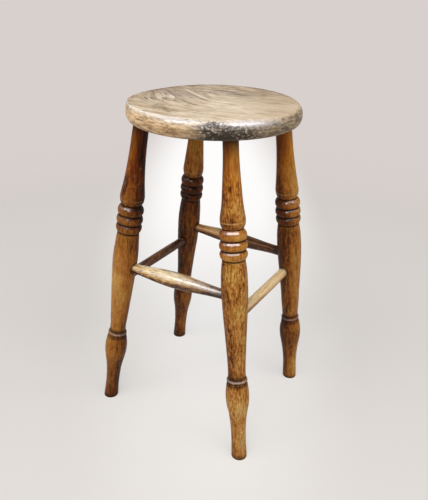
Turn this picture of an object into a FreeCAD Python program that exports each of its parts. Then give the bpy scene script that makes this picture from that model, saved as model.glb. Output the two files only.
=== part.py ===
import math
import os

import FreeCAD, Part
from FreeCAD import Vector

# Tall round stool: a round board on four splayed turned legs, tied by four stretchers.
# Millimetres, +Z up, origin on the floor under the centre of the seat, front towards -Y.

# Seat board
seat_height = 671.0            # floor to the top of the seat
seat_radius = 166.0
seat_thickness = 34.0
seat_widest_height = 14.5      # the edge's widest line, above the underside
seat_top_round = 16.0          # how far the upper edge rolls in
seat_bottom_round = 7.0        # how far the lower edge rolls in
socket_cover = 10.0            # wood left above each blind socket, on its axis

# Turned leg: radii, and lengths along its own axis from the floor up.
# The shaft takes what the other lengths leave.
sole_radius = 15.6
sole_round = 1.2               # worn edge of the sole
ankle_radius = 14.8
ankle_height = 41.0            # floor to the thin ankle
bulb_radius = 23.3
bulb_rise = 96.0               # ankle to the thickest place of the bulb
bulb_fall = 32.0               # from there to the collar
bulb_shoulder_radius = 19.2
nick_radius = 17.9             # cut in under the collar, and the collar's upper edge
nick_height = 1.2              # above the bulb's top, as are the next three
collar_radius = 19.9
collar_crest = 4.2             # the collar's thickest place
collar_top = 7.6
collar_width = 9.0             # up to the foot of the shaft
shaft_foot_radius = 17.2
shaft_radius = 25.4
shaft_fall = 54.0              # from the shaft's thickest place up to the beads
shaft_top_radius = 21.8
bead_foot_radius = 20.8        # step in from the shaft to the lowest bead
bead_groove_radius = 21.6      # between the beads
bead_radii = (25.6, 25.9, 25.5)
bead_widths = (19.3, 18.8, 22.2)
bead_crests = (0.60, 0.47, 0.43)   # shares of each width below the bead's crest
notch_radius = 17.2            # cut in above the top bead
vase_undercut = 1.2            # from the notch up to the vase
vase_foot_radius = 20.4
vase_radius = 23.4
vase_rise = 17.5               # beads to the thickest place of the vase
vase_length = 167.0            # beads to the underside of the seat
neck_radius = 14.6             # also the radius of the leg's tenon
neck_land = 8.0                # straight neck below the seat

# Stretchers
front_swell_radius = 16.5
front_swell_offset = -8.0      # the front rail is thickest a little left of its middle
back_swell_radius = 15.5
back_swell_offset = 0.0
cross_tenon_radius = 10.0
right_rod_radius = 10.4
left_rod_radius = 9.7
swell_clearance = 4.0          # straight tenon that shows beyond the leg's shaft
tenon_past_axis = 4.0          # how far a stretcher goes in beyond the leg's axis

# Fits
glue_gap = 0.1                 # all round each tenon
tenon_end_gap = 0.5            # between a tenon's end and the floor of its hole

# Each leg: the direction of its socket from the middle of the seat in degrees, the socket's inset
# from the seat's edge, how far the foot stands out to the right and to the back of the socket,
# the height of the side mortise, and how much higher the cross mortise is.
# They were bored by eye, so they differ.
legs = {
    "leg_front_left": dict(angle=-135.4, inset=28.9, splay=(-74.8, -48.9), side=305.3, rise=28.2),
    "leg_front_right": dict(angle=-45.4, inset=48.0, splay=(83.9, -67.6), side=298.6, rise=40.6),
    "leg_back_right": dict(angle=39.4, inset=31.1, splay=(43.8, 53.8), side=298.3, rise=39.4),
    "leg_back_left": dict(angle=134.6, inset=35.8, splay=(-81.6, 45.6), side=304.9, rise=34.9),
}

# Cross rails swell in the middle, side rods are plain.
cross_rails = {
    "stretcher_front": ("leg_front_left", "leg_front_right", front_swell_radius, front_swell_offset),
    "stretcher_back": ("leg_back_left", "leg_back_right", back_swell_radius, back_swell_offset),
}
side_rods = {
    "stretcher_right": ("leg_front_right", "leg_back_right", right_rod_radius),
    "stretcher_left": ("leg_front_left", "leg_back_left", left_rod_radius),
}

# How each turned curve leaves its lower end and arrives at its upper end: leave and arrive are
# shares of its height, and the drifts are the shares of its change of radius made over them.
ankle_curve = dict(leave=0.3, arrive=0.3)
bulb_curve = dict(leave=0.64, arrive=0.32)
bulb_top_curve = dict(leave=0.44, arrive=0.23, drift_in=0.3)
shaft_curve = dict(leave=0.26, arrive=0.25)
shaft_top_curve = dict(leave=0.6, arrive=0.22, drift_in=0.45)
nick_curve = dict(leave=0.2, arrive=0.4, drift_out=0.5)
shaft_foot_curve = dict(leave=0.3, arrive=0.5, drift_out=0.7)
undercut_curve = dict(leave=0.1, arrive=0.6, drift_out=0.7)
vase_foot_curve = dict(leave=0.35, arrive=0.3, drift_out=1.0)
neck_curve = dict(leave=0.02, arrive=0.56)
rail_rise_curve = dict(leave=0.25, arrive=0.35, drift_out=0.2)
rail_fall_curve = dict(leave=0.28, arrive=0.34, drift_in=0.12)

seat_underside = seat_height - seat_thickness
upward = Vector(0, 0, 1)
outward = Vector(1, 0, 0)


class Outline:
    # one side of a turned piece, drawn upwards from its axis as radius and height

    def __init__(self, height):
        self.height = height
        self.radius = 0.0
        self.bottom = height
        self.edges = []

    def point(self, radius, height):
        return Vector(radius, 0, height)

    def step(self, edge, radius, height):
        self.edges.append(edge.toShape())
        self.radius = radius
        self.height = height

    def line(self, radius, height):
        segment = Part.LineSegment(self.point(self.radius, self.height), self.point(radius, height))
        self.step(segment, radius, height)

    def curve(self, radius, height, leave, arrive, drift_out=0.0, drift_in=0.0):
        grow = radius - self.radius
        climb = height - self.height
        bezier = Part.BezierCurve()
        bezier.setPoles([
            self.point(self.radius, self.height),
            self.point(self.radius + drift_out * grow, self.height + leave * climb),
            self.point(radius - drift_in * grow, height - arrive * climb),
            self.point(radius, height)])
        self.step(bezier, radius, height)

    def bead(self, crest_radius, crest_height, radius, height):
        arc = Part.Arc(self.point(self.radius, self.height), self.point(crest_radius, crest_height),
                       self.point(radius, height))
        self.step(arc, radius, height)

    def solid(self):
        self.line(0.0, self.height)
        self.line(0.0, self.bottom)
        face = Part.Face(Part.Wire(self.edges))
        return face.revolve(Vector(0, 0, 0), upward, 360)


def quarter_ellipse(centre_radius, centre_height, run, rise, first, last):
    # run and rise are the half axes along the radius and the height
    stretch = FreeCAD.Matrix()
    stretch.A11 = run
    stretch.A33 = rise
    stretch.A14 = centre_radius
    stretch.A34 = centre_height
    quarter = Part.Arc(first, (first + last).normalize(), last).toShape()
    return quarter.transformGeometry(stretch)


def along(shape, start, direction):
    # carries a shape made up the Z axis to a start point and a direction
    moved = shape.copy()
    moved.Placement = FreeCAD.Placement(start, FreeCAD.Rotation(upward, direction))
    return moved


def bored(solid, tool):
    return solid.cut(tool).Solids[0]


def leg_axis(leg):
    reach = seat_radius - leg["inset"]
    turn = math.radians(leg["angle"])
    socket = Vector(reach * math.cos(turn), reach * math.sin(turn), seat_underside)
    foot = Vector(socket.x + leg["splay"][0], socket.y + leg["splay"][1], 0)
    return foot, socket


def axis_point(leg, height):
    foot, socket = leg_axis(leg)
    return foot + (socket - foot) * (height / seat_underside)


def socket_depth(leg):
    # along the leg's axis, up to the wood that covers the socket
    foot, socket = leg_axis(leg)
    return (seat_thickness - socket_cover) * (socket - foot).Length / seat_underside


def cross_point(name):
    return axis_point(legs[name], legs[name]["side"] + legs[name]["rise"])


def side_point(name):
    return axis_point(legs[name], legs[name]["side"])


def turned_leg(length, tenon_length):
    # length is from the floor to the underside of the seat; the foot is left long for its level cut
    bulb_height = ankle_height + bulb_rise
    collar_height = bulb_height + bulb_fall
    beads_height = length - vase_length - sum(bead_widths)
    notch_height = length - vase_length
    outline = Outline(-sole_radius)
    outline.line(sole_radius, -sole_radius)
    outline.line(sole_radius, 0.0)
    outline.curve(ankle_radius, ankle_height, **ankle_curve)
    outline.curve(bulb_radius, bulb_height, **bulb_curve)
    outline.curve(bulb_shoulder_radius, collar_height, **bulb_top_curve)
    outline.curve(nick_radius, collar_height + nick_height, **nick_curve)
    outline.bead(collar_radius, collar_height + collar_crest, nick_radius, collar_height + collar_top)
    outline.curve(shaft_foot_radius, collar_height + collar_width, **shaft_foot_curve)
    outline.curve(shaft_radius, beads_height - shaft_fall, **shaft_curve)
    outline.curve(shaft_top_radius, beads_height, **shaft_top_curve)
    outline.line(bead_foot_radius, beads_height)
    ends = (bead_groove_radius, bead_groove_radius, notch_radius)
    for crest_radius, width, crest, end_radius in zip(bead_radii, bead_widths, bead_crests, ends):
        start = outline.height
        outline.bead(crest_radius, start + crest * width, end_radius, start + width)
    outline.curve(vase_foot_radius, notch_height + vase_undercut, **undercut_curve)
    outline.curve(vase_radius, notch_height + vase_rise, **vase_foot_curve)
    outline.curve(neck_radius, length - neck_land, **neck_curve)
    outline.line(neck_radius, length + tenon_length)
    return outline.solid()


def swelled_rail(length, swell_radius, swell_offset):
    # straight tenons, and between them a rise to the swelling and a fall
    tenon_shown = shaft_radius + swell_clearance
    outline = Outline(-tenon_past_axis)
    outline.line(cross_tenon_radius, -tenon_past_axis)
    outline.line(cross_tenon_radius, tenon_shown)
    outline.curve(swell_radius, 0.5 * length + swell_offset, **rail_rise_curve)
    outline.curve(cross_tenon_radius, length - tenon_shown, **rail_fall_curve)
    outline.line(cross_tenon_radius, length + tenon_past_axis)
    return outline.solid()


def plain_rod(length, radius):
    whole = length + 2 * tenon_past_axis
    return Part.makeCylinder(radius, whole, Vector(0, 0, -tenon_past_axis), upward)


def mortise(start, end, radius):
    # a blind hole at start for a rail that comes from end
    direction = (end - start).normalize()
    depth = tenon_past_axis + tenon_end_gap
    floor = start - direction * depth
    return Part.makeCylinder(radius + glue_gap, depth + 2 * shaft_radius, floor, direction)


def make_seat():
    widest = seat_underside + seat_widest_height
    flat_top = seat_radius - seat_top_round
    flat_bottom = seat_radius - seat_bottom_round
    outline = Outline(seat_underside)
    outline.line(flat_bottom, seat_underside)
    outline.edges.append(quarter_ellipse(flat_bottom, widest, seat_bottom_round, seat_widest_height,
                                         -upward, outward))
    outline.edges.append(quarter_ellipse(flat_top, widest, seat_top_round, seat_height - widest,
                                         outward, upward))
    outline.radius = flat_top
    outline.height = seat_height
    board = outline.solid()
    for leg in legs.values():
        foot, socket = leg_axis(leg)
        direction = (socket - foot).normalize()
        start = socket - direction * neck_radius
        depth = neck_radius + socket_depth(leg)
        board = bored(board, Part.makeCylinder(neck_radius + glue_gap, depth, start, direction))
    return board


def make_leg(name):
    leg = legs[name]
    foot, socket = leg_axis(leg)
    shape = turned_leg((socket - foot).Length, socket_depth(leg) - tenon_end_gap)
    shape = along(shape, foot, socket - foot)
    block = 4 * sole_radius
    below_floor = Part.makeBox(block, block, block, foot - Vector(0.5 * block, 0.5 * block, block))
    shape = bored(shape, below_floor)
    sole_edges = [edge for edge in shape.Edges if edge.BoundBox.ZMax < 0.5 * sole_round]
    shape = shape.makeFillet(sole_round, sole_edges).Solids[0]
    for first, second, _, _ in cross_rails.values():
        if name in (first, second):
            other = second if name == first else first
            shape = bored(shape, mortise(cross_point(name), cross_point(other), cross_tenon_radius))
    for first, second, radius in side_rods.values():
        if name in (first, second):
            other = second if name == first else first
            shape = bored(shape, mortise(side_point(name), side_point(other), radius))
    return shape


def make_rails():
    rails = {}
    for name, (first, second, swell_radius, swell_offset) in cross_rails.items():
        start, end = cross_point(first), cross_point(second)
        rail = swelled_rail((end - start).Length, swell_radius, swell_offset)
        rails[name] = along(rail, start, end - start)
    for name, (first, second, radius) in side_rods.items():
        start, end = side_point(first), side_point(second)
        rails[name] = along(plain_rod((end - start).Length, radius), start, end - start)
    return rails


pieces = {"seat": make_seat()}
for leg_name in legs:
    pieces[leg_name] = make_leg(leg_name)
pieces.update(make_rails())

os.makedirs("parts", exist_ok=True)
for node, shape in pieces.items():
    print(node, shape.ShapeType, "valid", shape.isValid(), "volume", round(shape.Volume))
    shape.exportStep("parts/" + node + ".step")
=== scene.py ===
import math
from types import SimpleNamespace

import bpy
import numpy as np
from mathutils import Matrix, Vector


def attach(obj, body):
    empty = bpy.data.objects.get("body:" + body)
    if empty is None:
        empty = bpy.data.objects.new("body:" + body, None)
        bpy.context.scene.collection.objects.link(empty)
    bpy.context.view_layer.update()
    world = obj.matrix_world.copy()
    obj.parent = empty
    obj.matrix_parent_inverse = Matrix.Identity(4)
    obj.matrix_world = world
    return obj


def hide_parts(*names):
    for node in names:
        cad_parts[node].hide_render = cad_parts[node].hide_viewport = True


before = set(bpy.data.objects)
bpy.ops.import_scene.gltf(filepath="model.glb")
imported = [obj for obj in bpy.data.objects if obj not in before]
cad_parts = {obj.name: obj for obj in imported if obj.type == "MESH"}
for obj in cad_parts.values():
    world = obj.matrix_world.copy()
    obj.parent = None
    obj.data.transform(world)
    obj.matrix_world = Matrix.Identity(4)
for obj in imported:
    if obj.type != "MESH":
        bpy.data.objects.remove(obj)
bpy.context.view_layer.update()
print("frame loaded:", len(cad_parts), "nodes")


# Numbers on whole arrays

def softStep(value, low, high):
    # smooth ramp from 0 at low to 1 at high: three times the share squared less twice its cube
    share = np.clip((value - low) / (high - low), 0.0, 1.0)
    return share * share * (3.0 - 2.0 * share)


def between(value, low, full, fade, high):
    # smooth plateau: up from low to full, down from fade to high
    return softStep(value, low, full) * (1.0 - softStep(value, fade, high))


def hump(value, centre, width):
    # bell curve: 1 at the centre, about a third one width away
    return np.exp(-((value - centre) / width) ** 2)


def cloud(points, size, seed, layers=3, side=32, shift=7.3):
    # value noise from -1 to 1: random numbers on a lattice of so many cells a side, blended smoothly along
    # three axes; each further layer is shifted, half as large and half as strong
    lattice = np.random.default_rng(seed).random((side, side, side))
    total = np.zeros(points.shape[:-1])
    for layer in range(layers):
        weight = 0.5 ** layer
        spot = points / (np.asarray(size) * weight) + shift * layer
        cell = np.floor(spot).astype(int)
        share = softStep(spot - cell, 0.0, 1.0)
        value = np.zeros(points.shape[:-1])
        for corner in np.ndindex(2, 2, 2):
            step = np.array(corner[::-1])
            near = np.where(step, share, 1.0 - share).prod(axis=-1)
            value += near * lattice[tuple(np.moveaxis((cell + step) % side, -1, 0))]
        total += weight * (2.0 * value - 1.0)
    return total / (2.0 - 0.5 ** (layers - 1))


def wrapAngle(angle):
    # the same angle between minus and plus half a turn
    return (angle + math.pi) % (2.0 * math.pi) - math.pi


def unit(vector):
    return vector / np.linalg.norm(vector)


def facing(outward, degrees):
    # how straight a surface looks towards a direction on the floor plan: the cosine between the two
    turn = math.radians(degrees)
    return outward[..., :2] @ np.array((math.cos(turn), math.sin(turn)))


# Meshes from grids

def ringQuads(rings):
    # four point numbers for each quad between a ring of points and the next one
    onward = np.roll(rings, -1, axis=1)
    return np.stack([rings[:-1], rings[1:], onward[1:], onward[:-1]], axis=-1).reshape(-1, 4)


def tubeFaces(rows, columns):
    # quads that face outwards, and a flat end each side
    rings = np.arange(rows * columns).reshape(rows, columns)
    return ringQuads(rings)[:, [0, 3, 2, 1]].tolist() + [rings[0][::-1].tolist(), rings[-1].tolist()]


def newPiece(name, points, faces, finish):
    mesh = bpy.data.meshes.new(name)
    mesh.from_pydata(points.reshape(-1, 3).tolist(), [], faces)
    mesh.materials.append(finish)
    piece = bpy.data.objects.new(name, mesh)
    bpy.context.scene.collection.objects.link(piece)
    return piece


def putMesh(name, points, faces, fields, finish, node):
    # fields are values for each point that the finish reads
    piece = newPiece(name, points, faces, finish)
    mesh = piece.data
    mesh.polygons.foreach_set("use_smooth", np.ones(len(mesh.polygons), bool))
    for fieldName, values in fields.items():
        kind, key = ("FLOAT_VECTOR", "vector") if values.ndim == points.ndim else ("FLOAT", "value")
        attribute = mesh.attributes.new(fieldName, kind, "POINT")
        attribute.data.foreach_set(key, np.ascontiguousarray(values, np.float32).ravel())
    mesh.update()
    mesh.validate()
    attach(piece, "root")
    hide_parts(node)
    print(name, len(mesh.polygons), "faces")


# Finishes

def tint(red, green, blue):
    # screen colour out of 255 to the linear colour that a shader takes
    share = np.array([red, green, blue]) / 255.0
    linear = np.where(share <= 0.04045, share / 12.92, ((share + 0.055) / 1.055) ** 2.4)
    return (*linear.tolist(), 1.0)


def stops(*colours, places=None):
    # places and colours of a ramp, evenly spaced where no places are given
    places = places or np.linspace(0.0, 1.0, len(colours)).tolist()
    return list(zip(places, (tint(*colour) for colour in colours)))


class Finish:
    # shader nodes of a material or of the world, with short ways to add and join them

    def __init__(self, owner, shader="BsdfPrincipled", output="OutputMaterial"):
        owner.use_nodes = True
        self.owner, self.tree = owner, owner.node_tree
        self.tree.nodes.clear()
        self.shader = self.node(shader)
        self.output = self.node(output, {0: self.shader.outputs[0]})

    def feed(self, node, values):
        # each input, by name or number, gets a link or a plain value
        for key, value in values.items():
            if isinstance(value, bpy.types.NodeSocket):
                self.tree.links.new(value, node.inputs[key])
            else:
                node.inputs[key].default_value = value

    def node(self, kind, values=None, **settings):
        node = self.tree.nodes.new("ShaderNode" + kind)
        for key, value in settings.items():
            setattr(node, key, value)
        self.feed(node, values or {})
        return node

    def field(self, name, output="Fac"):
        return self.node("Attribute", attribute_name=name).outputs[output]

    def objectPlace(self):
        return self.node("TexCoord").outputs["Object"]

    def stretched(self, vector, lengths, shift=(0.0, 0.0, 0.0)):
        # one unit of the result is the given length along each axis
        scale = [1.0 / length for length in lengths]
        return self.node("Mapping", {"Vector": vector, "Scale": scale, "Location": shift}).outputs[0]

    def noise(self, vector, lengths, detail=3.0, roughness=0.55, shift=(0.0, 0.0, 0.0)):
        # random value from 0 to 1, in lumps of about the given lengths along the axes
        place = self.stretched(vector, lengths, shift)
        values = {"Vector": place, "Scale": 1.0, "Detail": detail, "Roughness": roughness}
        return self.node("TexNoise", values).outputs[0]

    def crazing(self, vector, lengths):
        # distance to the nearest border between random cells of the given lengths
        values = {"Vector": self.stretched(vector, lengths), "Scale": 1.0}
        return self.node("TexVoronoi", values, feature="DISTANCE_TO_EDGE").outputs["Distance"]

    def math(self, kind, *values, clamp=False):
        return self.node("Math", dict(enumerate(values)), operation=kind, use_clamp=clamp).outputs[0]

    def times(self, first, *others, clamp=False):
        for value in others:
            first = self.math("MULTIPLY", first, value, clamp=clamp)
        return first

    def more(self, base, value, share, clamp=False):
        # the base and a share of the value
        return self.math("MULTIPLY_ADD", value, share, base, clamp=clamp)

    def swing(self, noise):
        # noise about zero
        return self.math("SUBTRACT", noise, 0.5)

    def level(self, value, low, high, bottom=0.0, top=1.0):
        # bottom at low, top at high, smooth between
        values = dict(enumerate((value, low, high, bottom, top)))
        return self.node("MapRange", values, interpolation_type="SMOOTHSTEP").outputs[0]

    def blend(self, share, first, second, mode="MIX"):
        values = {0: share, 6: first, 7: second}
        return self.node("Mix", values, data_type="RGBA", blend_type=mode).outputs[2]

    def ramp(self, value, marks):
        # marks are pairs of place and colour
        node = self.node("ValToRGB", {0: value})
        for _ in marks[2:]:
            node.color_ramp.elements.new(0.5)
        for element, (place, colour) in zip(node.color_ramp.elements, marks):
            element.position = place
            element.color = colour
        return node.outputs[0]

    def length(self, vector):
        return self.node("VectorMath", {0: vector}, operation="LENGTH").outputs["Value"]

    def seenRay(self):
        # 1 for rays that show the background: from the camera, a reflection or glass
        path = self.node("LightPath").outputs
        seen = self.math("MAXIMUM", path["Is Camera Ray"], path["Is Glossy Ray"])
        return self.math("MAXIMUM", seen, path["Is Transmission Ray"])

    def surface(self, look, colour, rough, coat, height):
        bump = self.node("Bump", {"Strength": 1.0, "Distance": look["relief"], "Height": height})
        self.feed(self.shader, {
            "Base Color": colour, "Roughness": rough, "Specular IOR Level": look["specular"],
            "Coat Weight": coat, "Coat Roughness": look["coatRough"], "Coat IOR": look["coatIndex"],
            "Normal": bump.outputs[0]})
        return self.owner


# figure of beech: lengths across, across and along the grain, then detail, roughness and shift
beechFigure = dict(
    wide=((0.0070, 0.0070, 0.055),), fine=((0.0026, 0.0026, 0.022),),
    mottle=((0.0044, 0.0044, 0.0085), 4.0, 0.65),
    scratch=((0.0018, 0.0018, 0.009), 1.0, 0.55, (3.0, 5.0, 2.0)),
    patch=((0.03, 0.03, 0.05), 4.0, 0.55, (1.0, 4.0, 8.0)))
# between which values of its noise each mark comes up, and from how much
beechLevels = dict(
    red=(0.46, 0.70, 0.0), olive=(0.48, 0.66, 0.0), patchy=(0.40, 0.60, 0.15), rough=(0.3, 0.7),
    scratch=(0.64, 0.76), grimeAndShade=(0.15, 0.6, 0.75), rub=(0.38, 0.62, 0.6))
# mottle without flecks, least liveliness, calm of polished wood, depth of the warm tint, extra red where it
# is warm; what grime with painted shade and flecks add to the roughness; what adds to the relief, and how
# polish smooths it
beechShares = dict(
    mottle=0.15, lively=0.5, calm=-0.45, warm=0.55, redder=0.6, grimeAndShadeRough=0.22, fleckRough=0.15, fine=0.35,
    sunkFlecks=-0.6, sunkLines=-0.4, smooth=-0.85)


def beechFinish(look):
    # stained beech: tone picks a colour from deep stain to bare ochre, then long streaks, short dark
    # flecks, pale scratches, dirt in the hollows with painted shade in grooves and bands, and rubbed edges go
    # over it; on the rails the rubbed colour is pale paint that stands in for a highlight
    wood, shares = Finish(bpy.data.materials.new(look["name"])), beechShares
    grain = wood.field("grain", "Vector")
    noise = {name: wood.noise(grain, *figure) for name, figure in beechFigure.items()}
    fleck, polish, warm = (wood.field(name) for name in ("fleck", "polish", "warm"))

    def shown(name, source, *top):
        return wood.level(noise[source], *beechLevels[name], *top)

    change = wood.times(wood.swing(noise["mottle"]), wood.more(shares["mottle"], fleck, look["mottle"]))
    for name in ("wide", "patch", "fine"):
        change = wood.more(change, wood.swing(noise[name]), look[name])
    lively = wood.more(shares["lively"], fleck, 1.0 - shares["lively"])
    lively = wood.times(lively, wood.more(1.0, polish, shares["calm"]))
    red = wood.times(shown("red", "wide", look["red"]), wood.more(1.0, warm, shares["redder"]), clamp=True)
    speck = wood.level(wood.noise(grain, look["speckSize"], 2.0), *look["speck"])
    flecks = wood.times(speck, shown("patchy", "patch"), fleck, clamp=True)
    lines = wood.times(shown("scratch", "scratch"), fleck, look["scratch"])
    # dirt and painted shade: the dirt field also carries painted shade in the grooves, under the seat and
    # below the bead highlights
    grimeAndShade = wood.times(wood.field("dirtAndShade"), shown("grimeAndShade", "patch"), clamp=True)
    # on the rails the rubbed colour is a painted highlight
    rubbed = wood.times(wood.field("wear"), shown("rub", "mottle"), clamp=True)
    colour = wood.ramp(wood.more(wood.field("tone"), change, lively), look["tones"])
    for share, name, mode in (
            (wood.times(warm, shares["warm"]), "warmTint", "MULTIPLY"), (red, "redTint", "MIX"),
            (shown("olive", "patch", look["olive"]), "oliveTint", "MULTIPLY"),
            (wood.times(flecks, look["fleckDark"]), "fleckTint", "MIX"), (lines, "scratchTint", "MIX"),
            (grimeAndShade, "dirtTint", "MIX"), (rubbed, "wearTint", "MIX"), (wood.field("ring"), "ringTint", "MIX")):
        colour = wood.blend(share, colour, look[name], mode)
    rough = wood.more(shown("rough", "patch", *look["rough"]), grimeAndShade, shares["grimeAndShadeRough"])
    rough = wood.more(rough, flecks, shares["fleckRough"], clamp=True)
    height = wood.more(noise["mottle"], noise["fine"], shares["fine"])
    height = wood.more(wood.more(height, flecks, shares["sunkFlecks"]), lines, shares["sunkLines"])
    height = wood.times(height, wood.more(1.0, polish, shares["smooth"]))
    coat = wood.more(look["coat"], polish, look["gloss"], clamp=True)
    return wood.surface(look, colour, rough, coat, height)


# Turned outlines, in metres

straight = (1 / 3, 1 / 3, 1 / 3, 1 / 3)      # a curve that leaves and arrives like this is a line


class Turning:
    # one side of a turned piece, drawn upwards as rows of height and radius

    beadRise = (0.3, 0.45, 0.62)             # how the two curves of a bead leave and arrive
    beadFall = (0.45, 0.3, 0.0, 0.6)

    def __init__(self, radius, height):
        self.heights = [np.array([height])]
        self.radii = [np.array([radius])]

    def last(self):
        return self.radii[-1][-1], self.heights[-1][-1]

    def curve(self, radius, height, rows, leave, arrive, driftOut=0.0, driftIn=0.0):
        # cubic Bezier: leave and arrive are shares of the height before its inner poles,
        # the drifts the shares of the change of radius made there
        radiusStart, heightStart = self.last()
        share = np.linspace(0.0, 1.0, rows + 1)[1:]
        weights = [(1 - share) ** 3, 3 * share * (1 - share) ** 2, 3 * share ** 2 * (1 - share), share ** 3]
        grow, climb = radius - radiusStart, height - heightStart
        radii = (radiusStart, radiusStart + driftOut * grow, radius - driftIn * grow, radius)
        heights = (heightStart, heightStart + leave * climb, height - arrive * climb, height)
        self.radii.append(sum(w * r for w, r in zip(weights, radii)))
        self.heights.append(sum(w * h for w, h in zip(weights, heights)))

    def through(self, places, starts):
        # a curve to each place of a table
        for start, rise, radius, *run in places:
            self.curve(radius, starts[start] + rise, *run)

    def bead(self, crest, crestHeight, radius, height, shoulder, slope, rows):
        # round from the last point to the crest, rounded on to the shoulder, then straight down to the end;
        # the shoulder is as far out of the end as given, and the slope is the fall for each unit of height
        self.curve(crest, crestHeight, rows, *self.beadRise)
        self.curve(radius + shoulder, height - shoulder / slope, rows, *self.beadFall)
        self.curve(radius, height, rows // 2, *straight)

    def rows(self):
        return np.concatenate(self.heights), np.concatenate(self.radii)


def hollowness(heights, radii, reach, step=0.0004):
    # how far the outline lies inside its own average over the reach, positive in a hollow
    even = np.arange(heights[0], heights[-1], step)
    smooth = np.interp(even, heights, radii)
    count = int(reach / step)
    window = np.hanning(2 * count + 1)
    padded = np.pad(smooth, count, mode="edge")
    average = np.convolve(padded, window / window.sum(), mode="valid")
    return np.interp(heights, even, average[:len(even)] - smooth)


def turnedGrid(outline, direction, around):
    # circles of points round an axis: the height along it, the radius and the outward direction of each,
    # and its place beside the axis
    heights, radii = outline
    side = (0.0, 1.0, 0.0) if abs(direction[1]) < 0.9 else (1.0, 0.0, 0.0)
    across = unit(np.cross(direction, side))
    angle = np.linspace(0.0, 2.0 * math.pi, around, endpoint=False)
    height, turn = np.meshgrid(heights, angle, indexing="ij")
    radius = np.repeat(radii[:, None], around, axis=1)
    compass = np.stack([np.cos(turn), np.sin(turn)], axis=-1)
    local = np.concatenate([radius[..., None] * compass, height[..., None]], axis=-1)
    outward = compass[..., :1] * across + compass[..., 1:] * np.cross(direction, across)
    return SimpleNamespace(height=height, radius=radius, outward=outward, local=local)


def wobble(local, waves, seed):
    # uneven turning: long and short waves of noise, each of its own depth and size
    (longDepth, longSize), (shortDepth, shortSize) = waves
    return longDepth * cloud(local, longSize, seed) + shortDepth * cloud(local, shortSize, seed + 1)


def ownGrain(local, seed):
    # each piece is cut from another place in the wood
    return local + np.array((0.37 * seed, 0.61 * seed, 0.0))


# Legs

seatUnderside = 0.637
legShape = dict(soleEdge=0.0155 - 0.0012, collar=0.169, vaseLength=0.167, beadWidths=(0.0193, 0.0188, 0.0222),
                beadRows=16, stripDepths=(0.0024, 0.0032, 0.0050), around=128)
# places on a leg's outline, upwards: what the height counts from, height, radius, rows of points up to it,
# and how the curve leaves and arrives
legTurning = dict(
    lower=(("floor", 0.0012, 0.0155, 6, 0.1, 0.5, 0.55),           # sole
           ("floor", 0.041, 0.0148, 24, 0.3, 0.3),                 # ankle
           ("floor", 0.137, 0.0233, 56, 0.64, 0.32),               # bulb
           ("collar", 0.0, 0.0192, 30, 0.44, 0.23, 0.0, 0.3),
           ("collar", 0.0012, 0.0179, 4, 0.2, 0.4, 0.5)),          # nick under the collar
    shaft=(("collar", 0.009, 0.0172, 5, 0.3, 0.5, 0.7),
           ("beads", -0.054, 0.0254, 110, 0.26, 0.25),             # thickest place of the shaft
           ("beads", 0.0, 0.0218, 40, 0.6, 0.22, 0.0, 0.45),
           ("beads", 0.0, 0.0208, 2, *straight)),
    upper=(("vase", 0.0, 0.0172, 2, *straight),                    # notch under the vase
           ("vase", 0.0012, 0.0204, 5, 0.1, 0.6, 0.7),
           ("vase", 0.0175, 0.0234, 20, 0.35, 0.3, 1.0),           # thickest place of the vase
           ("top", -0.008, 0.0146, 90, 0.02, 0.56),                # neck
           ("top", 0.0235, 0.0146, 12, *straight)))                # tenon
# the collar's crest and end, each by radius and height, then its shoulder, slope and rows
collarBead = dict(crest=(0.0199, 0.0036), end=(0.0179, 0.0072), shoulder=(0.0017, 1.35, 10))
# each bead: radius of its crest and its share of the bead's width, radius and drop of its end, its shoulder
legBeads = ((0.0256, 0.60, 0.0216, 0.0, 0.0022), (0.0259, 0.47, 0.0216, 0.0, 0.0022),
            (0.0255, 0.43, 0.0216 - 0.002, 0.001, 0.0022 + 0.0006))

# heights along a leg, and each leg's tone at them, from 0 dark stain to 1 bare wood
toneHeights = (0.0, 0.05, 0.125, 0.17, 0.22, 0.32, 0.40, 0.445, 0.50, 0.60)
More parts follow.
